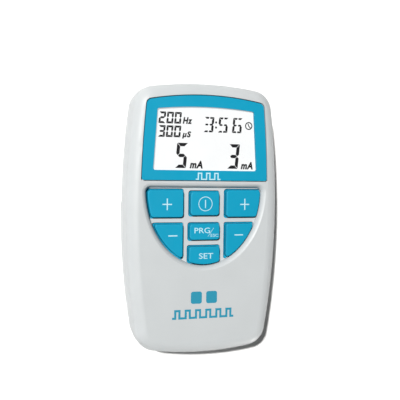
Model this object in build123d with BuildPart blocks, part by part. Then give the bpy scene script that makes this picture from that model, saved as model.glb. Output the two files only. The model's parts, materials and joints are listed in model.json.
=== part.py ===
"""Two-channel TENS unit: a hand-held nerve stimulator.

It has a display, seven keys, a 9 V battery bay and a belt clip on its stepped back.

Frame, in millimetres: X across the face, +Y towards the display end, +Z out of the display.
The origin is the centre of the footprint on the surface that the unit lies on, back down.
"""

import os
from math import radians, tan

from build123d import *

# ---- Driving dimensions --------------------------------------------------------------------------
WIDTH, LENGTH, DEPTH = 69.0, 119.2, 28.7
HALF_WIDTH, HALF_LENGTH = WIDTH / 2, LENGTH / 2
SIDE_RADIUS, SIDE_PEAK_Y = 343.0, 4.2
TOP_RADIUS, BOTTOM_RADIUS, CORNER_RADIUS = 158.0, 141.0, 9.6
PARTING_Z = 17.5
WALL = 2.0
PARTING_GROOVE = 0.25

# Front cover
FRONT_DRAFT, FACE_ROUND = 1.5, 5.2
CEILING_Z, CEILING_ROUND = 26.5, 2.0
LIP_HEIGHT, LIP_INSET, LIP_THICKNESS = 1.2, 1.0, 0.9

# Rear cover: the lower back holds the battery, and the upper back steps in to make room for the belt clip
REAR_DRAFT, REAR_ROUND, REAR_HOLLOW_ROUND = 4.0, 7.0, 5.2
STEP_Z, STEP_FOOT_Y, STEP_TOP_Y, STEP_ROUND = 7.4, 3.4, 6.6, 3.0

# Display
BEZEL_HALF_BASE, BEZEL_BASE_Y = 28.75, 17.1
BEZEL_HALF_MID, BEZEL_MID_Y = 27.85, 36.0
BEZEL_HALF_TOP, BEZEL_SIDE_TOP_Y = 26.55, 51.7
BEZEL_INSET, BEZEL_FOOT_RADIUS, BEZEL_TOP_RADIUS = 5.2, 0.9, 2.6
POCKET_Z, BEZEL_Z, BEZEL_TOP_Z, BEZEL_GAP = 27.3, 27.35, 28.6, 0.38
WINDOW_HALF_BASE, WINDOW_BASE_Y = 23.5, 21.8
WINDOW_HALF_TOP, WINDOW_SIDE_TOP_Y = 21.75, 47.9
WINDOW_INSET, WINDOW_RADIUS, WINDOW_TOP_Z = 10.4, 0.9, 28.55
LCD_HALF_X, LCD_Y, LCD_Z, LCD_GAP = 24.2, (20.0, 50.0), (25.0, 27.25), 0.2
LCD_FRAME_WALL, LCD_FRAME_Z = 0.95, (22.45, 26.4)
ZEBRA_WIDTH, ZEBRA_HALF_X = 1.8, 22.0

# Keypad: an ellipse trims the keys, and the face rolls down to them all round
KEY_CENTRE_Y, KEY_A, KEY_B, KEY_TOP_Z, KEY_EDGE = 13.3, 25.65, 32.75, 28.2, 0.45
# how far the well lies outside that ellipse, and at what height: at its rim, shoulder and foot
WELL_SECTIONS = ((2.55, DEPTH), (1.35, DEPTH - 0.75), (0.45, DEPTH - 2.7))
WELL_TOP_Y, WELL_ROUND, WELL_CORNER = 16.3, 0.4, 1.5
KEY_CLEARANCE, KEY_FLANGE = 0.65, 1.0
PAN_UNDERSIDE_Z, FLANGE_Z = 24.9, (24.05, 24.8)
STEM_RADIUS, PILL_RADIUS, PILL_Z = 2.4, 2.2, (23.2, 23.65)
MAT_THICKNESS, MAT_HOLE_RADIUS, MAT_OUTSET = 0.9, 2.9, 1.3
CONTACT_RADIUS, CONTACT_THICKNESS = 2.6, 0.04

# Circuit board
BOARD_Z, BOARD_INSET = (20.8, 22.4), 3.4
SOCKET_X, SOCKET_Z, SOCKET_Y = 15.0, 13.2, (45.4, 55.5)
SOCKET_NOSE_Y, SOCKET_NOSE_RADIUS, SOCKET_BORE_RADIUS, SOCKET_BORE_DEPTH = 58.2, 3.0, 1.8, 12.0
SOCKET_HALF_X, SOCKET_BODY_Z = 4.5, (9.6, 20.75)
COLLAR_RADIUS, COLLAR_LENGTH = 2.6, 1.5
PIN_RADIUS, PIN_PITCH, PIN_Y, PIN_PROUD = 0.4, 5.0, 50.0, 0.2
UNDER_BOARD_Z = BOARD_Z[0] - 0.05

# Output transformers: a core with two windows, and a winding round its middle limb
TRANSFORMER_X, CORE_HALF_X, CORE_Y, CORE_BOTTOM_Z = 14.5, 6.8, (27.0, 40.0), 10.4
CORE_WINDOW_HALF_X, CORE_WINDOW_X, CORE_YOKE = 2.4, 4.0, 2.2
WINDING_HALF_X, WINDING_Y, LIMB_HALF_X, WINDING_GAP = 4.4, (25.2, 41.8), 1.65, 0.4

# Battery, its bay and its door
BATTERY_HALF_X, BATTERY_Y, BATTERY_Z, BATTERY_ROUND = 13.25, (-51.5, -5.5), (2.1, 19.6), 2.4
TERMINAL_X, TERMINAL_LENGTH = 6.35, 2.5
BAY_HALF_X, BAY_Y, BAY_TOP_Z, BAY_WALL, BAY_ROOF = 13.7, (-52.0, 0.9), 19.7, 1.3, 0.9
RAIL_HALF_X, RAIL_TOP_Z, END_BLOCK_TOP_Z = 18.0, 3.6, 10.0
DOOR_HALF_X, DOOR_TOP_Y, DOOR_Z = 15.0, -0.3, (0.2, 1.9)
TONGUE_HALF_X, TONGUE_Y, TONGUE_BASE_Z = 16.0, (-54.0, -0.5), 0.95
DOOR_LIP_HALF_X, DOOR_LIP_Y, DOOR_LIP_TOP_Z = 16.2, -55.3, 8.0
DOOR_CLEARANCE = 0.2
STRIP_Y, STRIP_HALF_X, STRIP_Z = (-2.95, -2.55), 2.0, (7.0, 22.35)

# Fasteners: countersunk access from the back, self-tapping into the front cover
CASE_SCREWS = [(x, y) for x, y in ((-28.3, 33.0), (28.3, 33.0), (-20.6, -47.0), (20.6, -47.0))]
CASE_BOSS_RADIUS, CASE_SEAT_Z, CASE_SCREW_TOP_Z = 2.7, 11.5, 23.5
CASE_HEAD_RADIUS, CASE_SHANK_RADIUS, CASE_PILOT_RADIUS, CASE_ACCESS_RADIUS = 2.1, 1.0, 1.05, 2.35
BOARD_SCREWS = [(0.0, 53.6), (-19.5, -30.0), (19.5, -30.0)]
BOARD_BOSS_RADIUS, BOARD_HEAD_RADIUS, BOARD_SHANK_RADIUS, BOARD_PILOT_RADIUS = 2.3, 1.8, 0.8, 0.85

# Belt clip
CLIP_PIN_Y, CLIP_PIN_Z, CLIP_PIN_RADIUS, CLIP_PIN_CLEARANCE = 45.0, 3.75, 0.9, 0.05
CLIP_HALF_X, CLIP_TIP_Y, CLIP_TAB_Y, CLIP_Z = 13.0, 11.0, 54.0, (0.4, 2.0)
CLIP_BARREL_RADIUS, CLIP_BARREL_X = 1.9, (3.6, 8.4)
CLIP_LUG_X, CLIP_LUG_RADIUS = (8.7, 11.0), 1.9
CLIP_PLATE_Y, CLIP_PLATE_Z = (37.0, 51.0), (6.2, 7.35)
CLIP_SPRING_RADIUS, CLIP_WIRE_RADIUS, CLIP_SPRING_PITCH, CLIP_SPRING_TURNS = 1.45, 0.25, 0.68, 7.5
CLIP_LEGS = (5.0, 2.2)
CLIP_GRIP_Y, CLIP_GRIP_TOP_Z = (12.5, 17.0), 6.7
CLIP_COIL_HALF_X = CLIP_SPRING_TURNS * CLIP_SPRING_PITCH / 2
CLIP_SCREW_X, CLIP_SCREW_Y = 8.0, CLIP_PLATE_Y[0] + 3


# ---- Shared outlines and helpers -----------------------------------------------------------------
def casing_outline(sketch, inset=0.0):
    """Draws the casing's plan in the open sketch, moved inward by inset: four arcs with rounded corners."""
    with Locations(Location((HALF_WIDTH - SIDE_RADIUS, SIDE_PEAK_Y), 180)):
        Circle(SIDE_RADIUS - inset)
    with Locations((SIDE_RADIUS - HALF_WIDTH, SIDE_PEAK_Y)):
        Circle(SIDE_RADIUS - inset, mode=Mode.INTERSECT)
    with Locations((0, HALF_LENGTH - TOP_RADIUS)):
        Circle(TOP_RADIUS - inset, mode=Mode.INTERSECT)
    with Locations((0, BOTTOM_RADIUS - HALF_LENGTH)):
        Circle(BOTTOM_RADIUS - inset, mode=Mode.INTERSECT)
    fillet(sketch.vertices(), CORNER_RADIUS - inset)


def bezel_outline(sketch, inset=0.0):
    """Draws the blue display border's outer edge in the open sketch, moved inward by inset."""
    with BuildLine() as border:
        foot_left = (inset - BEZEL_HALF_BASE, BEZEL_BASE_Y + inset)
        foot_right = (BEZEL_HALF_BASE - inset, BEZEL_BASE_Y + inset)
        top_left = (inset - BEZEL_HALF_TOP, BEZEL_SIDE_TOP_Y - inset)
        top_right = (BEZEL_HALF_TOP - inset, BEZEL_SIDE_TOP_Y - inset)
        Line(foot_left, foot_right)
        ThreePointArc(foot_right, (BEZEL_HALF_MID - inset, BEZEL_MID_Y), top_right)
        ThreePointArc(top_right, (0, HALF_LENGTH - BEZEL_INSET - inset), top_left)
        ThreePointArc(top_left, (inset - BEZEL_HALF_MID, BEZEL_MID_Y), foot_left)
    make_face(border.edges())
    fillet(sketch.vertices().group_by(Axis.Y)[0], BEZEL_FOOT_RADIUS)
    fillet(sketch.vertices().group_by(Axis.Y)[-1], BEZEL_TOP_RADIUS - inset)


def window_outline(sketch, outset=0.0):
    """Draws the clear part of the display in the open sketch, moved outward by outset."""
    base, top = WINDOW_HALF_BASE + outset, WINDOW_HALF_TOP + outset
    low, side = WINDOW_BASE_Y - outset, WINDOW_SIDE_TOP_Y + outset
    with BuildLine() as border:
        Polyline((-top, side), (-base, low), (base, low), (top, side))
        ThreePointArc((top, side), (0, HALF_LENGTH - WINDOW_INSET + outset), (-top, side))
    make_face(border.edges())
    fillet(sketch.vertices(), WINDOW_RADIUS)


def cut_ellipse(centre_y, a, b, cut_y):
    """Draws an ellipse on the centre line of the open sketch, without the part above cut_y."""
    with Locations((0, centre_y)):
        Ellipse(a, b)
    with Locations((0, cut_y)):
        Rectangle(3 * a, 3 * b, align=(Align.CENTER, Align.MIN), mode=Mode.SUBTRACT)


def block(half_x, y, z, mode=Mode.ADD, x=0.0):
    """A box centred on x, with y and z given as (low, high)."""
    with Locations((x, sum(y) / 2, sum(z) / 2)):
        return Box(2 * half_x, y[1] - y[0], z[1] - z[0], mode=mode)


def post(x, y, radius, z, mode=Mode.ADD):
    """A cylinder along Z at (x, y), with z given as (low, high)."""
    with Locations((x, y, z[0])):
        return Cylinder(radius, z[1] - z[0], align=(Align.CENTER, Align.CENTER, Align.MIN), mode=mode)


def rod(x, y, z, radius, length, direction, mode=Mode.ADD):
    """A cylinder that starts at (x, y, z) and runs along direction."""
    with Locations(Plane(origin=(x, y, z), z_dir=direction)):
        return Cylinder(radius, length, align=(Align.CENTER, Align.CENTER, Align.MIN), mode=mode)


PARTS = {}


def keep(builder, name):
    """Labels a finished piece with its node's name and lists it for export."""
    builder.part.label = name
    PARTS[name] = builder.part


# ---- Casing blanks -------------------------------------------------------------------------------
with BuildPart() as front_blank:
    with BuildSketch(Plane.XY.offset(PARTING_Z)) as plan:
        casing_outline(plan)
    extrude(amount=DEPTH - PARTING_Z, taper=FRONT_DRAFT)
    fillet(front_blank.faces().sort_by(Axis.Z)[-1].edges(), FACE_ROUND)
    chamfer(front_blank.faces().sort_by(Axis.Z)[0].edges(), PARTING_GROOVE)

with BuildPart() as front_hollow:
    with BuildSketch(Plane.XY.offset(PARTING_Z)) as plan:
        casing_outline(plan, inset=WALL)
    extrude(amount=CEILING_Z - PARTING_Z, taper=FRONT_DRAFT)
    fillet(front_hollow.faces().sort_by(Axis.Z)[-1].edges(), CEILING_ROUND)

with BuildPart() as rear_blank:
    with BuildSketch(Plane.XY) as plan:
        casing_outline(plan, inset=PARTING_Z * tan(radians(REAR_DRAFT)))
    extrude(amount=PARTING_Z, taper=-REAR_DRAFT)
    fillet(rear_blank.faces().sort_by(Axis.Z)[0].edges(), REAR_ROUND)
    chamfer(rear_blank.faces().sort_by(Axis.Z)[-1].edges(), PARTING_GROOVE)
    with BuildSketch(Plane.YZ) as step:
        with BuildLine():
            Polyline((STEP_FOOT_Y, -1), (STEP_FOOT_Y, 0), (STEP_TOP_Y, STEP_Z), (LENGTH, STEP_Z))
            Polyline((LENGTH, STEP_Z), (LENGTH, -1), (STEP_FOOT_Y, -1))
        make_face()
    extrude(amount=WIDTH, both=True, mode=Mode.SUBTRACT)
    level_faces = rear_blank.faces().filter_by(Axis.Z)
    upper_back = level_faces.filter_by_position(Axis.Z, STEP_Z - 0.01, STEP_Z + 0.01)
    fillet(upper_back.edges().filter_by(Axis.X, reverse=True), STEP_ROUND)

with BuildPart() as rear_hollow:
    with BuildSketch(Plane.XY.offset(WALL)) as plan:
        casing_outline(plan, inset=WALL + (PARTING_Z - WALL) * tan(radians(REAR_DRAFT)))
    extrude(amount=PARTING_Z - WALL, taper=-REAR_DRAFT)
    fillet(rear_hollow.faces().sort_by(Axis.Z)[0].edges(), REAR_HOLLOW_ROUND)
    block(WIDTH, (STEP_FOOT_Y - WALL, LENGTH), (0, STEP_Z + WALL), mode=Mode.SUBTRACT)


# ---- Keys ----------------------------------------------------------------------------------------
# name: (left, right, bottom, top of the key's box, its corner radius, centre of its contact)
KEYS = {
    "key_channel_a_up": (-30.0, -9.8, 1.4, 13.2, 1.3, (-17.2, 7.2)),
    "key_channel_b_up": (9.8, 30.0, 1.4, 13.2, 1.3, (17.2, 7.2)),
    "key_channel_a_down": (-30.0, -9.9, -24.0, -1.55, 1.0, (-14.0, -6.0)),
    "key_channel_b_down": (9.9, 30.0, -24.0, -1.55, 1.0, (14.0, -6.0)),
    "key_power": (-6.5, 6.5, 2.15, 12.45, 1.3, (0.0, 7.3)),
    "key_program": (-6.8, 6.8, -8.6, -1.55, 1.3, (0.0, -5.0)),
    "key_set": (-7.0, 7.0, -24.0, -11.6, 1.2, (0.0, -15.5)),
}


def key_outline(sketch, name, outset=0.0):
    """Draws a key's plan in the open sketch, moved outward by outset: its box, trimmed by the ellipse."""
    left, right, bottom, top, radius, _ = KEYS[name]
    with Locations(((left + right) / 2, (bottom + top) / 2)):
        Rectangle(right - left + 2 * outset, top - bottom + 2 * outset)
    with Locations((0, KEY_CENTRE_Y)):
        Ellipse(KEY_A + outset, KEY_B + outset, mode=Mode.INTERSECT)
    fillet(sketch.vertices(), radius)


for key_name in KEYS:
    contact_x, contact_y = KEYS[key_name][-1]
    with BuildPart() as key:
        with BuildSketch(Plane.XY.offset(FLANGE_Z[1])) as cap:
            key_outline(cap, key_name)
        extrude(amount=KEY_TOP_Z - FLANGE_Z[1])
        fillet(key.faces().sort_by(Axis.Z)[-1].edges(), KEY_EDGE)
        with BuildSketch(Plane.XY.offset(FLANGE_Z[0])) as flange:
            key_outline(flange, key_name, outset=KEY_FLANGE)
        extrude(amount=FLANGE_Z[1] - FLANGE_Z[0])
        post(contact_x, contact_y, STEM_RADIUS, (PILL_Z[1], FLANGE_Z[0]))
    keep(key, key_name)

    with BuildPart() as pill:
        post(contact_x, contact_y, PILL_RADIUS, PILL_Z)
    keep(pill, key_name.replace("key_", "contact_pill_"))

with BuildPart() as keypad_mat:
    with BuildSketch(Plane.XY.offset(BOARD_Z[1])) as mat_plan:
        mat_top_y = KEYS["key_channel_a_up"][3] + MAT_OUTSET
        cut_ellipse(KEY_CENTRE_Y, KEY_A + MAT_OUTSET, KEY_B + MAT_OUTSET, mat_top_y)
    extrude(amount=MAT_THICKNESS)
    for *_, (contact_x, contact_y) in KEYS.values():
        hole_z = (BOARD_Z[1], BOARD_Z[1] + MAT_THICKNESS)
        post(contact_x, contact_y, MAT_HOLE_RADIUS, hole_z, mode=Mode.SUBTRACT)
keep(keypad_mat, "keypad_mat")

with BuildPart() as key_contacts:
    for *_, (contact_x, contact_y) in KEYS.values():
        post(contact_x, contact_y, CONTACT_RADIUS, (BOARD_Z[1], BOARD_Z[1] + CONTACT_THICKNESS))
keep(key_contacts, "key_contact_pads")


# ---- Front cover ---------------------------------------------------------------------------------
with BuildPart() as front_cover:
    add(front_blank.part)
    add(front_hollow.part, mode=Mode.SUBTRACT)
    # rebate for the rear cover's lip
    with BuildSketch(Plane.XY.offset(PARTING_Z)) as rebate:
        casing_outline(rebate, inset=LIP_INSET - 0.05)
    extrude(amount=LIP_HEIGHT + 0.1, mode=Mode.SUBTRACT)
    # screw bosses
    for x, y in CASE_SCREWS:
        post(x, y, CASE_BOSS_RADIUS, (PARTING_Z, CEILING_Z + 0.2))
        post(x, y, CASE_PILOT_RADIUS, (PARTING_Z, CASE_SCREW_TOP_Z + 0.5), mode=Mode.SUBTRACT)
    for x, y in BOARD_SCREWS:
        post(x, y, BOARD_BOSS_RADIUS, (BOARD_Z[1], CEILING_Z + 0.2))
        post(x, y, BOARD_PILOT_RADIUS, (BOARD_Z[1], CEILING_Z - 0.9), mode=Mode.SUBTRACT)
    # pan that carries the keys, let into the face
    with BuildSketch(Plane.XY.offset(PAN_UNDERSIDE_Z)) as pan:
        rim_outset, _ = WELL_SECTIONS[0]
        cut_ellipse(KEY_CENTRE_Y, KEY_A + rim_outset, KEY_B + rim_outset, WELL_TOP_Y + 0.8)
    extrude(amount=CEILING_Z - PAN_UNDERSIDE_Z + 0.2)
    for outset, z in WELL_SECTIONS:
        with BuildSketch(Plane.XY.offset(z)) as section:
            cut_ellipse(KEY_CENTRE_Y, KEY_A + outset, KEY_B + outset, WELL_TOP_Y - rim_outset + outset)
            fillet(section.vertices(), WELL_CORNER + outset)
    loft(mode=Mode.SUBTRACT)
    rim = front_cover.edges().filter_by_position(Axis.Z, DEPTH - 0.01, DEPTH + 0.01)
    fillet(rim.filter_by_position(Axis.Y, KEY_CENTRE_Y - KEY_B, WELL_TOP_Y + 0.1), WELL_ROUND)
    for key_name in KEYS:
        with BuildSketch(Plane.XY.offset(PAN_UNDERSIDE_Z - 1)) as opening:
            key_outline(opening, key_name, outset=KEY_CLEARANCE)
        extrude(amount=DEPTH - PAN_UNDERSIDE_Z, mode=Mode.SUBTRACT)
    # pocket for the display border, and the opening over the display
    with BuildSketch(Plane.XY.offset(POCKET_Z)) as pocket:
        bezel_outline(pocket)
    extrude(amount=2, mode=Mode.SUBTRACT)
    lcd_opening_y = (LCD_Y[0] - LCD_GAP, LCD_Y[1] + LCD_GAP)
    block(LCD_HALF_X + LCD_GAP, lcd_opening_y, (CEILING_Z - 1, DEPTH), mode=Mode.SUBTRACT)
keep(front_cover, "front_cover")


# ---- Display -------------------------------------------------------------------------------------
with BuildPart() as display_bezel:
    with BuildSketch(Plane.XY.offset(BEZEL_Z)) as border:
        bezel_outline(border, inset=BEZEL_GAP)
    extrude(amount=BEZEL_TOP_Z - BEZEL_Z)
    with BuildSketch(Plane.XY.offset(BEZEL_Z)) as opening:
        window_outline(opening)
    extrude(amount=2, mode=Mode.SUBTRACT)
keep(display_bezel, "display_bezel")

with BuildPart() as display_window:
    with BuildSketch(Plane.XY.offset(BEZEL_Z)) as pane:
        window_outline(pane, outset=-0.05)
    extrude(amount=WINDOW_TOP_Z - BEZEL_Z)
keep(display_window, "display_window")

with BuildPart() as lcd_glass:
    block(LCD_HALF_X, LCD_Y, LCD_Z)
keep(lcd_glass, "lcd_glass")

with BuildPart() as lcd_frame:
    outer_y = (LCD_Y[0] - LCD_FRAME_WALL, LCD_Y[1] + LCD_FRAME_WALL)
    block(LCD_HALF_X + LCD_FRAME_WALL, outer_y, LCD_FRAME_Z)
    block(LCD_HALF_X + 0.05, (LCD_Y[0] - 0.05, LCD_Y[1] + 0.05), LCD_FRAME_Z, mode=Mode.SUBTRACT)
keep(lcd_frame, "lcd_frame")

with BuildPart() as backlight:
    guide_y = (LCD_Y[0] + ZEBRA_WIDTH + 0.6, LCD_Y[1] - ZEBRA_WIDTH - 0.6)
    block(ZEBRA_HALF_X, guide_y, (BOARD_Z[1] + 0.3, LCD_Z[0]))
keep(backlight, "lcd_backlight")

with BuildPart() as zebra_strips:
    for low in (LCD_Y[0] + 0.2, LCD_Y[1] - 0.2 - ZEBRA_WIDTH):
        block(ZEBRA_HALF_X, (low, low + ZEBRA_WIDTH), (BOARD_Z[1], LCD_Z[0]))
keep(zebra_strips, "zebra_strips")


# ---- Rear cover ----------------------------------------------------------------------------------
with BuildPart() as bay_block:
    block(RAIL_HALF_X, (-HALF_LENGTH, BAY_Y[1] + BAY_WALL), (0, RAIL_TOP_Z))
    block(RAIL_HALF_X, (-HALF_LENGTH, BAY_Y[0] - BAY_WALL), (0, END_BLOCK_TOP_Z))
    block(BAY_HALF_X + BAY_WALL, (BAY_Y[0] - BAY_WALL, BAY_Y[1] + BAY_WALL), (0, PARTING_Z))
    add(rear_blank.part, mode=Mode.INTERSECT)
    block(
        BAY_HALF_X + BAY_WALL,
        (BAY_Y[0] - BAY_WALL, BAY_Y[1] + BAY_WALL),
        (PARTING_Z - 1, BAY_TOP_Z + BAY_ROOF),
    )

with BuildPart() as rear_cover:
    add(rear_blank.part)
    add(rear_hollow.part, mode=Mode.SUBTRACT)
    add(bay_block.part)
    # lip that locates the front cover
    with BuildSketch(Plane.XY.offset(PARTING_Z - WALL)) as lip:
        casing_outline(lip, inset=LIP_INSET)
    extrude(amount=WALL + LIP_HEIGHT, dir=(0, 0, 1))
    with BuildSketch(Plane.XY.offset(PARTING_Z - WALL)) as lip_hollow:
        casing_outline(lip_hollow, inset=LIP_INSET + LIP_THICKNESS)
        with Locations((0, (BAY_Y[0] + BAY_Y[1]) / 2)):
            Rectangle(2 * (BAY_HALF_X + BAY_WALL), BAY_Y[1] - BAY_Y[0] + 2 * BAY_WALL, mode=Mode.SUBTRACT)
    extrude(amount=WALL + LIP_HEIGHT, mode=Mode.SUBTRACT)
    # screw bosses, reached from the back
    for x, y in CASE_SCREWS:
        floor_z = STEP_Z + 1 if y > STEP_TOP_Y else 1
        post(x, y, CASE_BOSS_RADIUS + 0.4, (floor_z, PARTING_Z - 0.05))
        post(x, y, CASE_ACCESS_RADIUS, (-1, CASE_SEAT_Z), mode=Mode.SUBTRACT)
        post(x, y, CASE_SHANK_RADIUS + 0.3, (-1, PARTING_Z), mode=Mode.SUBTRACT)
    # battery bay, the door's seat and the grooves for its tongues, and the end lip's seat
    block(BAY_HALF_X, BAY_Y, (DOOR_Z[1], BAY_TOP_Z), mode=Mode.SUBTRACT)
    seat_y = (-LENGTH, DOOR_TOP_Y + DOOR_CLEARANCE)
    groove_y = (-LENGTH, TONGUE_Y[1] + DOOR_CLEARANCE)
    seat_top_z = DOOR_Z[1] + 0.15
    groove_z = (TONGUE_BASE_Z - DOOR_CLEARANCE, seat_top_z)
    block(DOOR_HALF_X + DOOR_CLEARANCE, seat_y, (-1, seat_top_z), mode=Mode.SUBTRACT)
    block(TONGUE_HALF_X + DOOR_CLEARANCE, groove_y, groove_z, mode=Mode.SUBTRACT)
    block(
        DOOR_LIP_HALF_X + DOOR_CLEARANCE,
        (-LENGTH, DOOR_LIP_Y + DOOR_CLEARANCE),
        (-1, DOOR_LIP_TOP_Z + DOOR_CLEARANCE),
        mode=Mode.SUBTRACT,
    )
    for side in (-1, 1):
        # slots for the battery's contact strips, and the holes for the output sockets
        slot_y = (STRIP_Y[0] - 0.15, STRIP_Y[1] + 0.15)
        slot_z = (BAY_TOP_Z - 1, BAY_TOP_Z + 2)
        block(STRIP_HALF_X + 0.2, slot_y, slot_z, mode=Mode.SUBTRACT, x=side * TERMINAL_X)
        rod(side * SOCKET_X, 54, SOCKET_Z, SOCKET_NOSE_RADIUS + 0.2, 10, (0, 1, 0), mode=Mode.SUBTRACT)
        # holes for the belt clip's screws
        screw_z = (STEP_Z - 1, STEP_Z + WALL + 1)
        post(side * CLIP_SCREW_X, CLIP_SCREW_Y, 0.85, screw_z, mode=Mode.SUBTRACT)
keep(rear_cover, "rear_cover")


# ---- Battery door --------------------------------------------------------------------------------
with BuildPart() as battery_door:
    block(DOOR_HALF_X, (-HALF_LENGTH, DOOR_TOP_Y), (0, DOOR_Z[1]))
    block(DOOR_LIP_HALF_X, (-HALF_LENGTH, DOOR_LIP_Y), (0, DOOR_LIP_TOP_Z))
    add(rear_blank.part, mode=Mode.INTERSECT)
    block(TONGUE_HALF_X, TONGUE_Y, (TONGUE_BASE_Z, DOOR_Z[1]))
    block(TONGUE_HALF_X + 1, (-LENGTH, 0), (-1, DOOR_Z[0]), mode=Mode.SUBTRACT)
    # thumb recess with grip ribs
    with BuildSketch(Plane.XY) as thumb:
        with Locations((0, -14)):
            SlotOverall(20, 13)
    extrude(amount=DOOR_Z[0] + 0.8, mode=Mode.SUBTRACT)
    with BuildSketch(Plane.XY.offset(DOOR_Z[0] + 0.15)) as ribs:
        with Locations((0, -14)):
            with GridLocations(0, 2.3, 1, 5):
                SlotOverall(11, 0.9)
    extrude(amount=0.75)
keep(battery_door, "battery_door")


# ---- Battery and contacts ------------------------------------------------------------------------
with BuildPart() as battery:
    block(BATTERY_HALF_X, BATTERY_Y, BATTERY_Z)
    fillet(battery.edges().filter_by(Axis.Y), BATTERY_ROUND)
keep(battery, "battery")

battery_mid_z = sum(BATTERY_Z) / 2
with BuildPart() as battery_terminals:
    rod(-TERMINAL_X, BATTERY_Y[1], battery_mid_z, 2.85, TERMINAL_LENGTH, (0, 1, 0))
    rod(TERMINAL_X, BATTERY_Y[1], battery_mid_z, 4.3, TERMINAL_LENGTH, (0, 1, 0))
    rod(TERMINAL_X, BATTERY_Y[1] + 0.4, battery_mid_z, 3.3, TERMINAL_LENGTH, (0, 1, 0), mode=Mode.SUBTRACT)
keep(battery_terminals, "battery_terminals")

with BuildPart() as contact_strips:
    for side in (-1, 1):
        block(STRIP_HALF_X, STRIP_Y, STRIP_Z, x=side * TERMINAL_X)
keep(contact_strips, "battery_contacts")

with BuildPart() as contact_carrier:
    block(BAY_HALF_X - 0.2, (STRIP_Y[1] + 0.05, BAY_Y[1] - 0.05), (DOOR_Z[1] + 0.4, BAY_TOP_Z - 0.3))
keep(contact_carrier, "contact_carrier")


# ---- Circuit board and what is soldered to it ----------------------------------------------------
with BuildPart() as circuit_board:
    with BuildSketch(Plane.XY.offset(BOARD_Z[0])) as board:
        casing_outline(board, inset=BOARD_INSET)
        with Locations(*CASE_SCREWS):
            Circle(CASE_BOSS_RADIUS + 0.4, mode=Mode.SUBTRACT)
        with Locations(*BOARD_SCREWS):
            Circle(BOARD_SHANK_RADIUS + 0.3, mode=Mode.SUBTRACT)
        with Locations((-TERMINAL_X, sum(STRIP_Y) / 2), (TERMINAL_X, sum(STRIP_Y) / 2)):
            Rectangle(2 * STRIP_HALF_X + 0.3, STRIP_Y[1] - STRIP_Y[0] + 0.3, mode=Mode.SUBTRACT)
        with Locations((-SOCKET_X, 50), (SOCKET_X, 50)):
            with GridLocations(5, 5, 2, 2):
                Circle(0.5, mode=Mode.SUBTRACT)
    extrude(amount=BOARD_Z[1] - BOARD_Z[0])
keep(circuit_board, "circuit_board")

for side, channel in ((-1, "a"), (1, "b")):
    with BuildPart() as socket:
        block(SOCKET_HALF_X, SOCKET_Y, SOCKET_BODY_Z, x=side * SOCKET_X)
        nose = SOCKET_NOSE_Y - SOCKET_Y[1] + 1
        rod(side * SOCKET_X, SOCKET_Y[1] - 1, SOCKET_Z, SOCKET_NOSE_RADIUS, nose, (0, 1, 0))
        bore_start = SOCKET_NOSE_Y - SOCKET_BORE_DEPTH
        rod(side * SOCKET_X, bore_start, SOCKET_Z, SOCKET_BORE_RADIUS, 20, (0, 1, 0), mode=Mode.SUBTRACT)
        collar_start = SOCKET_NOSE_Y - COLLAR_LENGTH
        rod(side * SOCKET_X, collar_start, SOCKET_Z, COLLAR_RADIUS, 5, (0, 1, 0), mode=Mode.SUBTRACT)
    keep(socket, f"output_socket_{channel}")

with BuildPart() as socket_collars:
    for side in (-1, 1):
        x, y = side * SOCKET_X, SOCKET_NOSE_Y - COLLAR_LENGTH
        rod(x, y, SOCKET_Z, COLLAR_RADIUS, COLLAR_LENGTH, (0, 1, 0))
        rod(x, y - 1, SOCKET_Z, SOCKET_BORE_RADIUS, COLLAR_LENGTH + 2, (0, 1, 0), mode=Mode.SUBTRACT)
keep(socket_collars, "socket_collars")

with BuildPart() as socket_pins:
    for side in (-1, 1):
        for place in GridLocations(PIN_PITCH, PIN_PITCH, 2, 2).local_locations:
            x, y = side * SOCKET_X + place.position.X, PIN_Y + place.position.Y
            post(x, y, PIN_RADIUS, (SOCKET_BODY_Z[1], BOARD_Z[1] + PIN_PROUD))
keep(socket_pins, "socket_pins")

with BuildPart() as transformer_cores:
    for side in (-1, 1):
        block(CORE_HALF_X, CORE_Y, (CORE_BOTTOM_Z, UNDER_BOARD_Z), x=side * TRANSFORMER_X)
        window_z = (CORE_BOTTOM_Z + CORE_YOKE, UNDER_BOARD_Z - CORE_YOKE)
        through_y = (CORE_Y[0] - 1, CORE_Y[1] + 1)
        for opening in (-1, 1):
            window_x = side * TRANSFORMER_X + opening * CORE_WINDOW_X
            block(CORE_WINDOW_HALF_X, through_y, window_z, mode=Mode.SUBTRACT, x=window_x)
keep(transformer_cores, "transformer_cores")

with BuildPart() as transformer_windings:
    for side in (-1, 1):
        winding_z = (CORE_BOTTOM_Z + CORE_YOKE + WINDING_GAP, UNDER_BOARD_Z - CORE_YOKE - WINDING_GAP)
        block(WINDING_HALF_X, WINDING_Y, winding_z, x=side * TRANSFORMER_X)
        limb_z = (winding_z[0] - 1, winding_z[1] + 1)
        block(LIMB_HALF_X, CORE_Y, limb_z, mode=Mode.SUBTRACT, x=side * TRANSFORMER_X)
keep(transformer_windings, "transformer_windings")

with BuildPart() as capacitors:
    for y in (30.5, 40.5):
        post(0, y, 4.0, (10.2, UNDER_BOARD_Z))
    fillet(capacitors.faces().group_by(Axis.Z)[0].edges(), 0.6)
keep(capacitors, "capacitors")

with BuildPart() as controller_chip:
    block(6.0, (10.0, 22.0), (UNDER_BOARD_Z - 1.6, UNDER_BOARD_Z))
    chamfer(controller_chip.faces().sort_by(Axis.Z)[0].edges(), 0.3)
keep(controller_chip, "controller_chip")

with BuildPart() as chip_leads:
    for side in (-1, 1):
        with Locations((side * 6.6, 16, UNDER_BOARD_Z - 0.3)):
            with GridLocations(0, 1.27, 1, 8):
                Box(1.1, 0.45, 0.5)
keep(chip_leads, "chip_leads")

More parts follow.
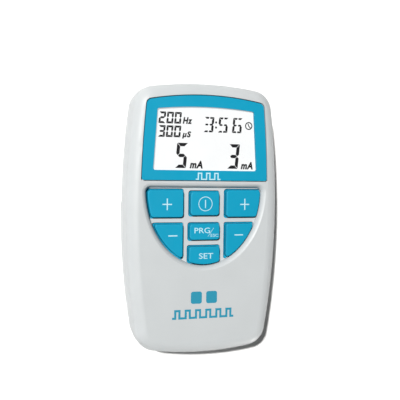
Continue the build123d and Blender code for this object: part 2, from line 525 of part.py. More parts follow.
with BuildPart() as crystal:
    block(5.6, (18.0, 22.6), (UNDER_BOARD_Z - 3.4, UNDER_BOARD_Z), x=16.0)
    fillet(crystal.edges().filter_by(Axis.Z), 2.1)
keep(crystal, "crystal")

with BuildPart() as buzzer:
    post(-17.5, 17.0, 6.0, (UNDER_BOARD_Z - 5.5, UNDER_BOARD_Z))
    post(-17.5, 17.0, 1.0, (UNDER_BOARD_Z - 6.0, UNDER_BOARD_Z - 4.0), mode=Mode.SUBTRACT)
keep(buzzer, "buzzer")

with BuildPart() as inductor:
    post(15.5, 10.5, 4.2, (UNDER_BOARD_Z - 5.0, UNDER_BOARD_Z))
    post(15.5, 10.5, 5.2, (UNDER_BOARD_Z - 4.0, UNDER_BOARD_Z - 1.0))
keep(inductor, "inductor")


# ---- Screws --------------------------------------------------------------------------------------
def screw(x, y, head_radius, head_z, shank_radius, tip_z):
    """A pan-head screw pointing up, its drive recess facing down. head_z is (low, high)."""
    post(x, y, head_radius, head_z)
    post(x, y, shank_radius, (head_z[1], tip_z))
    for half_x, half_y in ((0.7 * head_radius, 0.22), (0.22, 0.7 * head_radius)):
        with Locations((x, y, head_z[0])):
            Box(2 * half_x, 2 * half_y, 1.2, mode=Mode.SUBTRACT)


with BuildPart() as case_screws:
    for x, y in CASE_SCREWS:
        screw(x, y, CASE_HEAD_RADIUS, (CASE_SEAT_Z - 1.5, CASE_SEAT_Z), CASE_SHANK_RADIUS, CASE_SCREW_TOP_Z)
keep(case_screws, "case_screws")

with BuildPart() as board_screws:
    for x, y in BOARD_SCREWS:
        screw(x, y, BOARD_HEAD_RADIUS, (BOARD_Z[0] - 1.2, BOARD_Z[0]), BOARD_SHANK_RADIUS, CEILING_Z - 1.5)
keep(board_screws, "board_screws")


# ---- Belt clip -----------------------------------------------------------------------------------
with BuildPart() as clip_mount:
    block(CLIP_LUG_X[1], CLIP_PLATE_Y, CLIP_PLATE_Z)
    for side in (-1, 1):
        lug_x = side * sum(CLIP_LUG_X) / 2
        half_lug = (CLIP_LUG_X[1] - CLIP_LUG_X[0]) / 2
        lug_y = (CLIP_PIN_Y - CLIP_LUG_RADIUS, CLIP_PIN_Y + CLIP_LUG_RADIUS)
        block(half_lug, lug_y, (CLIP_PIN_Z, CLIP_PLATE_Z[0]), x=lug_x)
        rod(lug_x - half_lug, CLIP_PIN_Y, CLIP_PIN_Z, CLIP_LUG_RADIUS, 2 * half_lug, (1, 0, 0))
        post(side * CLIP_SCREW_X, CLIP_SCREW_Y, 1.1, CLIP_PLATE_Z, mode=Mode.SUBTRACT)
    # seat for the spring's long leg
    seat_z = CLIP_PIN_Z + CLIP_SPRING_RADIUS + CLIP_WIRE_RADIUS + 0.05
    block(0.8, (CLIP_PIN_Y + 2.2, CLIP_PLATE_Y[1]), (seat_z, CLIP_PLATE_Z[0]), x=-CLIP_COIL_HALF_X)
    rod(-20, CLIP_PIN_Y, CLIP_PIN_Z, CLIP_PIN_RADIUS + 0.01, 40, (1, 0, 0), mode=Mode.SUBTRACT)
keep(clip_mount, "clip_mount")

with BuildPart() as clip_screws:
    for side in (-1, 1):
        head_z = (CLIP_PLATE_Z[0] - 1.0, CLIP_PLATE_Z[0])
        screw(side * CLIP_SCREW_X, CLIP_SCREW_Y, 1.7, head_z, 0.8, STEP_Z + WALL)
keep(clip_screws, "clip_screws")

with BuildPart() as clip_pin:
    rod(-CLIP_LUG_X[1] - 0.3, CLIP_PIN_Y, CLIP_PIN_Z, CLIP_PIN_RADIUS, 2 * (CLIP_LUG_X[1] + 0.3), (1, 0, 0))
keep(clip_pin, "clip_pin")

with BuildPart() as clip_arm:
    with BuildSketch(Plane.XY.offset(CLIP_Z[0])) as arm_plan:
        # narrower at the tip and at the thumb tab than at the shoulder between them
        tip, shoulder, tab = CLIP_HALF_X - 2, CLIP_HALF_X, CLIP_HALF_X - 3
        shoulder_y = CLIP_TAB_Y - 10
        with BuildLine():
            Polyline((-shoulder, shoulder_y), (-tip, CLIP_TIP_Y), (tip, CLIP_TIP_Y), (shoulder, shoulder_y))
            Polyline((shoulder, shoulder_y), (tab, CLIP_TAB_Y), (-tab, CLIP_TAB_Y), (-shoulder, shoulder_y))
        make_face()
        fillet(arm_plan.vertices(), 2.5)
    extrude(amount=CLIP_Z[1] - CLIP_Z[0])
    fillet(clip_arm.faces().sort_by(Axis.Z)[0].edges(), 0.8)
    # ribs across the thumb tab
    for y in (48.8, 50.6, 52.4):
        rod(-7, y, CLIP_Z[0], 0.35, 14, (1, 0, 0), mode=Mode.SUBTRACT)
    # barrels on the pin, and a recess for the spring's coil
    for side in (-1, 1):
        barrel_x = side * sum(CLIP_BARREL_X) / 2
        half_barrel = (CLIP_BARREL_X[1] - CLIP_BARREL_X[0]) / 2
        barrel_y = (CLIP_PIN_Y - CLIP_BARREL_RADIUS, CLIP_PIN_Y + CLIP_BARREL_RADIUS)
        block(half_barrel, barrel_y, (CLIP_Z[0] + 0.8, CLIP_PIN_Z), x=barrel_x)
        rod(barrel_x - half_barrel, CLIP_PIN_Y, CLIP_PIN_Z, CLIP_BARREL_RADIUS, 2 * half_barrel, (1, 0, 0))
        lug_gap = (CLIP_PIN_Y - CLIP_LUG_RADIUS - 0.4, CLIP_PIN_Y + CLIP_LUG_RADIUS + 0.4)
        lug_x = side * (sum(CLIP_LUG_X) / 2 + 0.1)
        block(1.35, lug_gap, (CLIP_PIN_Z - CLIP_LUG_RADIUS - 0.4, 9), mode=Mode.SUBTRACT, x=lug_x)
    block(CLIP_BARREL_X[0], (CLIP_PIN_Y - 2.3, CLIP_PIN_Y + 2.3), (1.5, 9), mode=Mode.SUBTRACT)
    hinge_radius = CLIP_PIN_RADIUS + CLIP_PIN_CLEARANCE
    rod(-20, CLIP_PIN_Y, CLIP_PIN_Z, hinge_radius, 40, (1, 0, 0), mode=Mode.SUBTRACT)
    # ridge that grips the belt
    with BuildSketch(Plane.YZ) as ridge:
        with BuildLine():
            foot_z = CLIP_Z[1] - 0.5
            near, far = (CLIP_GRIP_Y[0], foot_z), (CLIP_GRIP_Y[1], foot_z)
            Line(far, near)
            Spline(near, (sum(CLIP_GRIP_Y) / 2, CLIP_GRIP_TOP_Z), far)
        make_face()
    extrude(amount=8, both=True)
keep(clip_arm, "clip_arm")

with BuildPart() as clip_spring:
    with BuildLine() as wire_path:
        coil = Helix(
            CLIP_SPRING_PITCH,
            2 * CLIP_COIL_HALF_X,
            CLIP_SPRING_RADIUS,
            center=(-CLIP_COIL_HALF_X, CLIP_PIN_Y, CLIP_PIN_Z),
            direction=(1, 0, 0),
        )
        Line((coil @ 0) - (coil % 0) * CLIP_LEGS[0], coil @ 0)
        Line(coil @ 1, (coil @ 1) + (coil % 1) * CLIP_LEGS[1])
    path_start = wire_path.wires()[0] @ 0
    with BuildSketch(Plane(origin=path_start, z_dir=wire_path.wires()[0] % 0)) as wire:
        Circle(CLIP_WIRE_RADIUS)
    sweep(path=wire_path.wires()[0])
keep(clip_spring, "clip_spring")


# ---- Export --------------------------------------------------------------------------------------
os.makedirs("parts", exist_ok=True)
for name, part in PARTS.items():
    export_step(part, f"parts/{name}.step")
print(len(PARTS), "parts")
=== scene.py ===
"""Looks of a two-channel TENS unit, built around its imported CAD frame.

Row frame: +X across the face, +Y towards the display end, +Z out of the face, in metres.
Artwork on the face is laid out in millimetres, in the same axes.
"""

import json
import math

import bmesh
import bpy
from mathutils import Matrix, Vector


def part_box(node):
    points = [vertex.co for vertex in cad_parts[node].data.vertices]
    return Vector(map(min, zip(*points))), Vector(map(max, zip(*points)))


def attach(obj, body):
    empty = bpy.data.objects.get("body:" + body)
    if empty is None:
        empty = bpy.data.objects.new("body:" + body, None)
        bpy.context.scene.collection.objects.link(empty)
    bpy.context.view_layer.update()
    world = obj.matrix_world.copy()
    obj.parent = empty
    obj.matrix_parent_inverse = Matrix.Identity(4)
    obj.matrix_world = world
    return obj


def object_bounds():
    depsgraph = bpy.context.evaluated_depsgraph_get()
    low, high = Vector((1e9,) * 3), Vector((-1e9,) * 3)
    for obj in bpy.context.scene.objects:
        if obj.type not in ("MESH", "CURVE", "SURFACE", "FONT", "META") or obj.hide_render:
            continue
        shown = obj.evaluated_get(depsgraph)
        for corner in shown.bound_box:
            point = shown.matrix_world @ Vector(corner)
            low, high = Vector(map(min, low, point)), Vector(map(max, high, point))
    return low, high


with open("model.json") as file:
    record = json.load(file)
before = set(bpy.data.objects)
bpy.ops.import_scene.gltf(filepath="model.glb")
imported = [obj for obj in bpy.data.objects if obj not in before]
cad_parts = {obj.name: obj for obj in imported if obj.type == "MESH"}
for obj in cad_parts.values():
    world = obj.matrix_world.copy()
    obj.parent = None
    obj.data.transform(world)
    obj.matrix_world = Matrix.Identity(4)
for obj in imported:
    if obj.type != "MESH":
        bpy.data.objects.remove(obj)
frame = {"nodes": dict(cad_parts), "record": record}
cad_low, cad_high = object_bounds()

MM = 0.001
BLUE = (0.0035, 0.266, 0.424)
INK = (0.012, 0.012, 0.014)
WHITE_PRINT = (0.42, 0.64, 0.71)
TEAL_PRINT = (0.022, 0.235, 0.350)
CASING_GREY = (0.468, 0.492, 0.503)
# the part of a noise pattern's range that it mostly keeps within
NOISE_RANGE = (0.3, 0.7)


# ---- Node helpers --------------------------------------------------------------------------------
class Shader:
    """A material under construction: a Principled surface whose inputs are driven by procedural textures."""

    def __init__(self, name):
        self.material = bpy.data.materials.new(name)
        self.material.use_nodes = True
        self.nodes = self.material.node_tree.nodes
        self.links = self.material.node_tree.links
        self.surface = self.nodes["Principled BSDF"]
        self.place = self.nodes.new("ShaderNodeTexCoord").outputs["Object"]

    def set(self, **values):
        for name, value in values.items():
            self.surface.inputs[name.replace("_", " ")].default_value = value

    def noise(self, size_mm, detail=2.0):
        """A noise pattern whose features are about size_mm across."""
        node = self.nodes.new("ShaderNodeTexNoise")
        node.inputs["Scale"].default_value = 1 / (size_mm * MM)
        node.inputs["Detail"].default_value = detail
        self.links.new(self.place, node.inputs["Vector"])
        return node.outputs["Fac"]

    def cells(self, size_mm):
        """A pattern of rounded cells about size_mm across."""
        node = self.nodes.new("ShaderNodeTexVoronoi")
        node.inputs["Scale"].default_value = 1 / (size_mm * MM)
        self.links.new(self.place, node.inputs["Vector"])
        return node.outputs["Distance"]

    def bands(self, axis, pitch_mm, distortion=0.0):
        """Even bands across one axis, pitch_mm apart."""
        node = self.nodes.new("ShaderNodeTexWave")
        node.bands_direction = axis
        node.inputs["Scale"].default_value = math.tau / 20 / (pitch_mm * MM)
        node.inputs["Distortion"].default_value = distortion
        self.links.new(self.place, node.inputs["Vector"])
        return node.outputs["Fac"]

    def along(self, axis):
        """The place along one axis of the row frame, in metres."""
        node = self.nodes.new("ShaderNodeSeparateXYZ")
        self.links.new(self.place, node.inputs["Vector"])
        return node.outputs[axis]

    def span(self, value, low, high, to_low=0.0, to_high=1.0):
        """value, carried from low..high to to_low..to_high."""
        node = self.nodes.new("ShaderNodeMapRange")
        node.inputs["From Min"].default_value = low
        node.inputs["From Max"].default_value = high
        node.inputs["To Min"].default_value = to_low
        node.inputs["To Max"].default_value = to_high
        self.links.new(value, node.inputs["Value"])
        return node.outputs["Result"]

    def blend(self, amount, first, second):
        """A colour between first and second, each a colour or another node's output."""
        node = self.nodes.new("ShaderNodeMix")
        node.data_type = "RGBA"
        self.links.new(amount, node.inputs["Factor"])
        for socket, colour in zip((node.inputs[6], node.inputs[7]), (first, second)):
            if isinstance(colour, bpy.types.NodeSocket):
                self.links.new(colour, socket)
            else:
                socket.default_value = (*colour, 1)
        return node.outputs[2]

    def colour(self, value):
        self.links.new(value, self.surface.inputs["Base Color"])

    def roughness(self, value, low, high):
        """Roughness from low to high, as the noise pattern value goes."""
        self.links.new(self.span(value, *NOISE_RANGE, low, high), self.surface.inputs["Roughness"])

    def bump(self, *layers):
        """Relief from (height pattern, depth in mm) layers, one on another."""
        below = None
        for height, depth_mm in layers:
            node = self.nodes.new("ShaderNodeBump")
            node.inputs["Distance"].default_value = depth_mm * MM
            self.links.new(height, node.inputs["Height"])
            if below is not None:
                self.links.new(below, node.inputs["Normal"])
            below = node.outputs["Normal"]
        self.links.new(below, self.surface.inputs["Normal"])


def shade(colour, factor):
    """The colour, lighter or darker by a factor."""
    return tuple(min(1.0, channel * factor) for channel in colour)


# ---- Materials -----------------------------------------------------------------------------------
def moulded(name, colour, roughness, grain_mm=0.3, grain_depth=0.004, mottle=0.015, specular=0.5):
    """Moulded plastic or rubber: a fine eroded grain, slow tone changes and uneven gloss."""
    shader = Shader(name)
    shader.set(Specular_IOR_Level=specular)
    tone = shader.span(shader.noise(14, 3), *NOISE_RANGE)
    shader.colour(shader.blend(tone, shade(colour, 1 - mottle), shade(colour, 1 + mottle)))
    shader.roughness(shader.noise(2.5, 3), roughness - 0.04, roughness + 0.05)
    shader.bump((shader.noise(6.0, 1), grain_depth), (shader.noise(grain_mm, 2), grain_depth))
    return shader.material


def metal(name, colour, roughness, scratch_mm=0.25):
    """Plated or drawn metal, with fine marks along it."""
    shader = Shader(name)
    shader.set(Metallic=1.0)
    tone = shader.span(shader.noise(1.2, 3), *NOISE_RANGE)
    shader.colour(shader.blend(tone, shade(colour, 0.88), shade(colour, 1.06)))
    shader.roughness(shader.noise(0.5, 2), roughness - 0.06, roughness + 0.1)
    shader.bump((shader.noise(scratch_mm, 2), 0.003))
    return shader.material


def clear_window():
    """Hard-coated acrylic over the display."""
    shader = Shader("clear_window")
    shader.set(Base_Color=(0.02, 0.02, 0.022, 1), Alpha=0.03, Specular_IOR_Level=0.6)
    shader.roughness(shader.noise(3, 2), 0.05, 0.10)
    shader.bump((shader.noise(12, 1), 0.002))
    return shader.material


def display_glass():
    """The display's pale reflective rear, with the fine grid of its polariser; it also glows, a painted light
    that keeps it white where the bezel shades it.
    """
    shader = Shader("display_glass")
    # painted light: this emission lifts the display to white in the bezel's shade
    shader.set(Specular_IOR_Level=0.3, Emission_Color=(0.97, 0.98, 1.0, 1), Emission_Strength=0.55)
    tone = shader.span(shader.noise(9, 2), 0.35, 0.65)
    shader.colour(shader.blend(tone, (0.39, 0.40, 0.40), (0.41, 0.42, 0.415)))
    shader.roughness(shader.noise(1.5, 2), 0.28, 0.4)
    shader.bump((shader.cells(0.25), 0.001))
    return shader.material


def board_laminate():
    """Green solder mask over copper tracks."""
    shader = Shader("board_laminate")
    across, along = shader.bands("X", 2.2, 4.0), shader.bands("Y", 3.1, 5.0)
    tracks = shader.blend(shader.span(across, 0.72, 0.76), (0.012, 0.10, 0.045), (0.03, 0.19, 0.075))
    tracks = shader.blend(shader.span(along, 0.80, 0.84), tracks, (0.03, 0.19, 0.075))
    shader.colour(tracks)
    shader.roughness(shader.noise(1.0, 3), 0.28, 0.42)
    shader.bump((across, 0.02), (shader.noise(0.4, 2), 0.004))
    return shader.material


def copper_wire():
    """Enamelled wire wound in layers."""
    shader = Shader("copper_wire")
    shader.set(Metallic=0.85)
    turns = shader.bands("Z", 0.28, 0.4)
    # painted shade and highlight: each turn is dark copper in its groove and bright copper on its crest
    shader.colour(shader.blend(turns, (0.16, 0.045, 0.018), (0.62, 0.24, 0.10)))
    shader.roughness(shader.noise(0.6, 2), 0.26, 0.4)
    shader.bump((turns, 0.06))
    return shader.material


def battery_jacket():
    """Printed steel jacket: dark, with a warm band at the terminal end and a pale band where they meet."""
    shader = Shader("battery_jacket")
    low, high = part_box("battery")
    length = high.y - low.y
    y = shader.along("Y")
    band_y = low.y + 0.74 * length
    band = shader.span(y, band_y, band_y + 0.05 * MM)
    pale_line = shader.span(shader.span(y, band_y - 1.6 * MM, band_y - 0.8 * MM, -1, 1), -0.2, 0.2)
    under = shader.blend(pale_line, (0.018, 0.020, 0.026), (0.55, 0.56, 0.58))
    shader.colour(shader.blend(band, under, (0.62, 0.30, 0.10)))
    shader.set(Metallic=0.35)
    shader.roughness(shader.noise(3, 3), 0.26, 0.40)
    shader.bump((shader.noise(5, 2), 0.02), (shader.noise(0.4, 2), 0.002))
    return shader.material


def printed(name, colour, roughness=0.45):
    """Screen-printed ink: a dense film with a slightly uneven edge to its gloss."""
    shader = Shader(name)
    shader.set(Specular_IOR_Level=0.3)
    tone = shader.span(shader.noise(0.6, 3), *NOISE_RANGE)
    shader.colour(shader.blend(tone, shade(colour, 0.96), shade(colour, 1.03)))
    shader.roughness(shader.noise(0.8, 2), roughness - 0.05, roughness + 0.05)
    shader.bump((shader.noise(0.2, 2), 0.002))
    return shader.material


MATERIALS = {
    "casing_plastic": moulded("casing_plastic", CASING_GREY, 0.46, grain_mm=0.35, specular=0.4),
    "blue_plastic": moulded("blue_plastic", BLUE, 0.42, grain_mm=0.25, mottle=0.015, specular=0.2),
    "blue_keys": moulded("blue_keys", BLUE, 0.46, grain_mm=0.2, mottle=0.02, specular=0.2),
    "clear_window": clear_window(),
    "display_glass": display_glass(),
    "dark_plastic": moulded("dark_plastic", (0.022, 0.022, 0.024), 0.42, grain_mm=0.2, mottle=0.1),
    "light_guide": moulded("light_guide", (0.80, 0.81, 0.78), 0.3, grain_mm=0.5, grain_depth=0.002),
    "silicone": moulded("silicone", (0.30, 0.31, 0.33), 0.55, grain_mm=0.15, mottle=0.05),
    "carbon_rubber": moulded("carbon_rubber", (0.018, 0.018, 0.018), 0.7, grain_mm=0.1, mottle=0.15),
    "gold_contacts": metal("gold_contacts", (0.83, 0.62, 0.26), 0.22),
    "board_laminate": board_laminate(),
    "tinned_metal": metal("tinned_metal", (0.62, 0.62, 0.61), 0.3),
    "ferrite": moulded("ferrite", (0.035, 0.034, 0.036), 0.62, grain_mm=0.3, grain_depth=0.02, mottle=0.2),
    "copper_wire": copper_wire(),
    "capacitor_sleeve": moulded("capacitor_sleeve", (0.012, 0.018, 0.07), 0.25, grain_mm=0.8, mottle=0.05),
    "battery_jacket": battery_jacket(),
    "screw_steel": metal("screw_steel", (0.55, 0.55, 0.56), 0.28),
    "clip_plastic": moulded("clip_plastic", CASING_GREY, 0.44, grain_mm=0.4, specular=0.4),
}

for subpart in frame["record"]["subparts"]:
    slots = frame["nodes"][subpart["node"]].data.materials
    slots.clear()
    slots.append(MATERIALS[subpart["material_slot"]])

ink = printed("display_ink", INK, 0.35)
white_print = printed("white_print", WHITE_PRINT)
teal_print = printed("teal_print", TEAL_PRINT)


# ---- Flat artwork: thin films of ink or segments, as closed solids -------------------------------
FILM = 0.05
# no mitre reaches further than a line's half width over this
MITRE_LIMIT = 0.35


def link(name, data):
    """A new object in the scene, around that mesh, lamp or camera."""
    thing = bpy.data.objects.new(name, data)
    bpy.context.scene.collection.objects.link(thing)
    return thing


def show(name, data, material, body):
    """Shows the mesh as a piece of artwork that rides on a body."""
    data.materials.append(material)
    piece = link(name, data)
    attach(piece, body)


def arc(centre, radius, start=0.0, end=360.0, steps=48):
    """Points on an arc, in millimetres; a whole turn doesn't repeat its first point."""
    count = steps if end - start >= 360 else steps + 1
    angles = [math.radians(start + (end - start) * i / steps) for i in range(count)]
    return [(centre[0] + radius * math.cos(a), centre[1] + radius * math.sin(a)) for a in angles]


def rounded_box(centre, width, height, radius):
    """The outline of a box with rounded corners."""
    points = []
    for i, (sx, sy) in enumerate(((1, 1), (-1, 1), (-1, -1), (1, -1))):
        corner = (centre[0] + sx * (width / 2 - radius), centre[1] + sy * (height / 2 - radius))
        points += arc(corner, radius, 90 * i, 90 * i + 90, 8)
    return points


def line(points, width, closed=False):
    """The two sides of a mitred line of that width along points: (left side, right side)."""
    path = [Vector(p) for p in points]
    sides = ([], [])
    for i, here in enumerate(path):
        before = path[i - 1] if closed or i else None
        after = path[(i + 1) % len(path)] if closed or i < len(path) - 1 else None
        into = (here - before).normalized() if before is not None else None
        out = (after - here).normalized() if after is not None else None
        into, out = into or out, out or into
        normal = Vector((-(into + out).y, (into + out).x)).normalized()
        reach = width / 2 / max(MITRE_LIMIT, normal.dot(Vector((-out.y, out.x))))
        sides[0].append(tuple(here + normal * reach))
        sides[1].append(tuple(here - normal * reach))
    return sides


def stroke(points, width):
    """An open line as one outline."""
    left, right = line(points, width)
    return left + right[::-1]


class Film:
    """Flat artwork that stands FILM mm proud of the surface at height z, and is let into it a little."""

    def __init__(self, z):
        self.mesh = bmesh.new()
        self.bottom, self.top = z - FILM / 3, z + FILM

    def ring(self, points, z):
        return [self.mesh.verts.new((x * MM, y * MM, z * MM)) for x, y in points]

    def walls(self, lower, upper):
        for i in range(len(lower)):
            j = (i + 1) % len(lower)
            self.mesh.faces.new((lower[i], lower[j], upper[j], upper[i]))

    def solid(self, points):
        """The inside of an outline."""
        lower, upper = self.ring(points, self.bottom), self.ring(points, self.top)
        self.walls(lower, upper)
        self.mesh.faces.new(upper)
        self.mesh.faces.new(lower[::-1])

    def loop(self, points, width):
        """A closed line."""
        left, right = line(points, width, closed=True)
        rings = [self.ring(side, z) for side in (left, right) for z in (self.bottom, self.top)]
        self.walls(rings[0], rings[1])
        self.walls(rings[3], rings[2])
        self.walls(rings[1], rings[3])
        self.walls(rings[2], rings[0])

    def finish(self, name, material, body):
        """Shows all that was drawn as one piece."""
        bmesh.ops.recalc_face_normals(self.mesh, faces=self.mesh.faces)
        bmesh.ops.triangulate(self.mesh, faces=[f for f in self.mesh.faces if len(f.verts) > 4])
        data = bpy.data.meshes.new(name)
        self.mesh.to_mesh(data)
        self.mesh.free()
        show(name, data, material, body)


SEGMENTS = {"0": "abcdef", "2": "abged", "3": "abgcd", "5": "afgcd", "6": "acdefg"}


def flat_bar(near, far, y, thick, into, ends=(1.0, 1.0)):
    """A level bar whose long side lies at y; the other is set in at each end by a share of its thickness."""
    inner = y + into * thick
    return [(near, y), (far, y), (far - ends[1] * thick, inner), (near + ends[0] * thick, inner)]


def pointed_bar(near, far, y, thick):
    """A level bar with a point at each end, its middle at y."""
    half = thick / 2
    return [
        (near, y),
        (near + half, y + half),
        (far - half, y + half),
        (far, y),
        (far - half, y - half),
        (near + half, y - half),
    ]


def digit(film, character, left, bottom, width, height, thick, gap, split=0.0, lean=0.09):
    """One seven-segment digit, its lower left corner at (left, bottom) before it leans.

    gap is left between neighbouring segments; split, if any, parts each level bar in the middle and thins it.
    """
    middle, centre = height / 2, width / 2
    if split:
        near, far, thin = centre - split / 2, centre + split / 2, 0.78 * thick
        top = [
            flat_bar(gap, near, height, thin, -1, (0.9, 0.15)),
            flat_bar(far, width - gap, height, thin, -1, (0.15, 0.9)),
        ]
        level = [
            pointed_bar(gap + thick / 4, near, middle, thin),
            pointed_bar(far, width - gap - thick / 4, middle, thin),
        ]
    else:
        top = [flat_bar(gap, width - gap, height, thick, -1)]
        level = [pointed_bar(gap + thick / 2, width - gap - thick / 2, middle, thick)]
    side = [
        (0, height - gap),
        (thick, height - gap - thick),
        (thick, middle + gap + thick / 2),
        (thick / 2, middle + gap),
        (0, middle + gap + thick / 2),
    ]

    def over(points):
        return [(width - x, y) for x, y in points]

    def down(points):
        return [(x, height - y) for x, y in points]

    bars = {
        "a": top,
        "b": [over(side)],
        "c": [over(down(side))],
        "d": [down(bar) for bar in top],
        "e": [down(side)],
        "f": [side],
        "g": level,
    }
    for letter in SEGMENTS[character]:
        for bar in bars[letter]:
            film.solid([(left + x + lean * y, bottom + y) for x, y in bar])


def number(film, text, left, bottom, pitch, *shape):
    """A row of digits, pitch apart, each of that shape."""
    for i, character in enumerate(text):
        digit(film, character, left + i * pitch, bottom, *shape)


def lettering(name, text, left, bottom, right, top, z, material, body, slot, weight, lean=0.0, spread=1.0):
    """Generic lettering, fitted to the box from (left, bottom) to (right, top), in millimetres."""
    curve = bpy.data.curves.new(name, "FONT")
    curve.body = text
    curve.space_character = spread
    curve.shear = lean
    curve.offset = weight
    curve.extrude = 0.5
    curve.resolution_u = 4
    source = link(name + "_source", curve)
    bpy.context.view_layer.update()
    data = bpy.data.meshes.new_from_object(source.evaluated_get(bpy.context.evaluated_depsgraph_get()))
    bpy.data.objects.remove(source)
    low = [min(v.co[k] for v in data.vertices) for k in range(3)]
    high = [max(v.co[k] for v in data.vertices) for k in range(3)]
    target_low, target_high = (left, bottom, z - FILM / 3), (right, top, z + FILM)
    for vertex in data.vertices:
        for k in range(3):
            share = (vertex.co[k] - low[k]) / (high[k] - low[k])
            vertex.co[k] = (target_low[k] + share * (target_high[k] - target_low[k])) * MM
    cleaned = bmesh.new()
    cleaned.from_mesh(data)
    bmesh.ops.remove_doubles(cleaned, verts=cleaned.verts, dist=0.0005 * MM)
    cleaned.to_mesh(data)
    cleaned.free()
    data.name = name
    data.materials.clear()
    show(name, data, material, body)


# ---- What the display shows ----------------------------------------------------------------------
lcd_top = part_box("lcd_glass")[1].z / MM

digits = Film(lcd_top)
# each kind of digit: its width, height, thickness, gap and split
READING, READING_PITCH = (2.95, 4.95, 0.84, 0.05), 3.45
CLOCK_TIME, CLOCK_PITCH, CLOCK_BOTTOM = (4.35, 6.6, 1.0, 0.1, 0.42), 6.55, 38.45
CURRENT, CURRENT_BOTTOM = (4.9, 10.8, 1.45, 0.12), 22.75
number(digits, "200", -21.1, 41.7, READING_PITCH, *READING)
number(digits, "300", -21.3, 35.9, READING_PITCH, *READING)
number(digits, "3", -1.05, CLOCK_BOTTOM, CLOCK_PITCH, *CLOCK_TIME)
number(digits, "56", 5.45, CLOCK_BOTTOM, CLOCK_PITCH, *CLOCK_TIME)
for colon_y in (40.6, 42.8):
    digits.solid(rounded_box((4.65, colon_y), 0.8, 0.85, 0.2))
for character, left in (("5", -13.7), ("3", 10.0)):
    digit(digits, character, left, CURRENT_BOTTOM, *CURRENT)
digits.finish("display_digits", ink, "casing")

clock = Film(lcd_top)
clock.loop(arc((19.85, 41.75), 1.5), 0.46)
clock.solid(stroke([(19.45, 42.75), (19.85, 41.65), (20.65, 40.85)], 0.42))
clock.finish("display_clock", ink, "casing")

# each unit symbol: its text and the box it fills, as left, bottom, right and top
UNITS = {
    "unit_frequency": ("Hz", -10.4, 41.75, -6.1, 44.6),
    "unit_width": ("µS", -10.6, 35.4, -6.6, 38.6),
    "unit_current_a": ("mA", -7.1, 22.65, -1.2, 26.0),
    "unit_current_b": ("mA", 16.4, 22.55, 22.1, 25.9),
}
for name, place in UNITS.items():
    lettering(name, *place, lcd_top, ink, "casing", "dark_plastic", lean=0.22, weight=0.048, spread=1.15)


# ---- Printing on the keys and the casing ---------------------------------------------------------
key_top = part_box("key_power")[1].z / MM


def key_print(key, name, outlines, loops=()):
    """A mark on a key, of filled outlines and of (points, width) closed lines."""
    film = Film(key_top)
    for outline in outlines:
        film.solid(outline)
    for points, width in loops:
        film.loop(points, width)
    film.finish(name, white_print, key)


def plus(centre, half_x, half_y, thick):
    """The outline of a plus sign."""
    x, y, t = centre[0], centre[1], thick / 2
    right, top = [(half_x, -t), (half_x, t), (t, t)], [(t, half_y), (-t, half_y), (-t, t)]
    left, bottom = [(-half_x, t), (-half_x, -t), (-t, -t)], [(-t, -half_y), (t, -half_y), (t, -t)]
    return [(x + dx, y + dy) for dx, dy in right + top + left + bottom]


for channel, centre in (("a", (-17.1, 7.05)), ("b", (18.3, 7.0))):
    key_print(f"key_channel_{channel}_up", f"print_{channel}_up", [plus(centre, 2.1, 2.5, 0.5)])
MINUS_Y = -6.6
for channel, left, right in (("a", -16.5, -12.5), ("b", 13.7, 17.7)):
    minus = stroke([(left, MINUS_Y), (right, MINUS_Y)], 0.52)
    key_print(f"key_channel_{channel}_down", f"print_{channel}_down", [minus])
power_bar, power_ring = stroke([(0.05, 5.4), (0.05, 9.0)], 0.4), arc((0.05, 7.25), 3.05, steps=64)
key_print("key_power", "print_power", [power_bar], [(power_ring, 0.3)])
key_print("key_program", "print_slash", [stroke([(4.0, -3.3), (1.4, -7.1)], 0.16)])

# each legend: its key, its weight, its text and the box it fills, as left, bottom, right and top
LEGENDS = {
    "print_program": ("key_program", 0.004, "PRG", -4.8, -5.65, 2.3, -3.2),
    "print_escape": ("key_program", 0.004, "ESC", 2.6, -7.25, 6.1, -6.0),
    "print_set": ("key_set", 0.006, "SET", -2.6, -16.95, 3.9, -14.45),
}
for name, (key, weight, *place) in LEGENDS.items():
    lettering(name, *place, key_top, white_print, key, "light_guide", weight=weight)


def pulse_train(left, right, low, high, count):
    """A square pulse train: count pulses standing on a base line."""
    pitch = (right - left) / count
    points = [(left, low)]
    for i in range(count):
        start = left + i * pitch
        points += [
            (start + 0.3 * pitch, low),
            (start + 0.3 * pitch, high),
            (start + 0.7 * pitch, high),
            (start + 0.7 * pitch, low),
        ]
    return points + [(right, low)]


bezel_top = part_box("display_bezel")[1].z / MM
bezel_mark = Film(bezel_top)
bezel_mark.solid(stroke(pulse_train(-4.6, 6.6, 17.95, 20.6, 3), 0.55))
bezel_mark.finish("print_pulse_mark", white_print, "casing")

face_top = cad_high.z / MM
face_mark = Film(face_top)
face_mark.solid(stroke(pulse_train(-14.6, 13.6, -42.9, -39.6, 6), 0.95))
for pad_x in (-3.7, 3.3):
    face_mark.solid(rounded_box((pad_x, -34.0), 5.0, 5.4, 1.0))
face_mark.finish("print_face_mark", teal_print, "casing")


# ---- Stage, light and camera ---------------------------------------------------------------------
FLOOR_RADIUS = 1.1


def floor():
    """A pale, plain disc under the unit."""
    shader = Shader("stage_floor")
    shader.set(Specular_IOR_Level=0.0, Roughness=0.9)
    tone = shader.span(shader.noise(60, 2), *NOISE_RANGE)
    shader.colour(shader.blend(tone, (0.93, 0.93, 0.93), (0.95, 0.95, 0.95)))
    data = bpy.data.meshes.new("stage_floor")
    rim = [(x, y, 0) for x, y in arc((0, 0), FLOOR_RADIUS, steps=96)]
    data.from_pydata(rim, [], [range(len(rim))])
    data.materials.append(shader.material)
    piece = link("stage_floor", data)


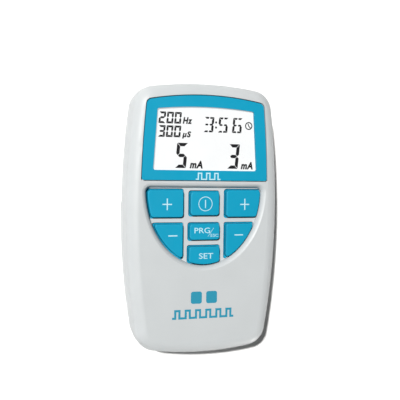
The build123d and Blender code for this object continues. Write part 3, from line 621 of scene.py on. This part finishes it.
def area_light(name, place, aim, size, power, colour):
    """A square lamp at place, turned towards aim."""
    lamp = bpy.data.lights.new(name, "AREA")
    lamp.shape = "SQUARE"
    lamp.size = size
    lamp.energy = power
    lamp.color = colour
    stand = link(name, lamp)
    stand.location = place
    stand.rotation_euler = (Vector(aim) - Vector(place)).to_track_quat("-Z", "Y").to_euler()


def camera():
    """Stands off the face, a little to the left and towards the display end."""
    aside, above, roll, distance = math.radians(16.7), math.radians(4.2), math.radians(0.79), 0.2843
    target = Vector((0, 0.0006, cad_high.z))
    back = Vector((-math.sin(aside) * math.cos(above), math.sin(above), math.cos(aside) * math.cos(above)))
    right = Vector((0, 1, 0)).cross(back).normalized()
    up = back.cross(right)
    turned = (math.cos(roll) * right + math.sin(roll) * up, math.cos(roll) * up - math.sin(roll) * right)
    lens = bpy.data.cameras.new("camera")
    lens.lens, lens.sensor_width = 58.5, 36.0
    lens.shift_x, lens.shift_y = -0.0138, 0.0478
    lens.clip_start = 0.01
    stand = link("camera", lens)
    axes = Matrix((*turned, back)).transposed().to_4x4()
    stand.matrix_world = Matrix.Translation(target + back * distance) @ axes
    bpy.context.scene.camera = stand


def studio(glow, backdrop):
    """The room: it lights the object with glow, and is seen past the floor as a pale backdrop."""
    world = bpy.data.worlds.new("studio")
    world.use_nodes = True
    nodes, links = world.node_tree.nodes, world.node_tree.links
    nodes["Background"].inputs["Color"].default_value = (0.97, 0.98, 1.0, 1)
    path = nodes.new("ShaderNodeLightPath")
    strength = nodes.new("ShaderNodeMapRange")
    strength.inputs["To Min"].default_value = glow
    strength.inputs["To Max"].default_value = backdrop
    links.new(path.outputs["Is Camera Ray"], strength.inputs["Value"])
    links.new(strength.outputs["Result"], nodes["Background"].inputs["Strength"])
    bpy.context.scene.world = world


floor()
camera()
area_light("key_light", (-0.905, 0.65, 2.0), (0, 0, 0), 0.08, 74.0, (1.0, 0.99, 0.97))
area_light("soft_fill", (-0.80, 0.50, 0.75), (0, 0, 0), 0.60, 1.6, (0.96, 0.96, 1.0))
area_light("rim_light", (0.90, -1.20, 0.065), (0, 0, 0.02), 0.10, 12.0, (1.0, 0.99, 0.96))
studio(glow=0.04, backdrop=1.0)
bpy.context.scene.view_settings.view_transform = "Standard"
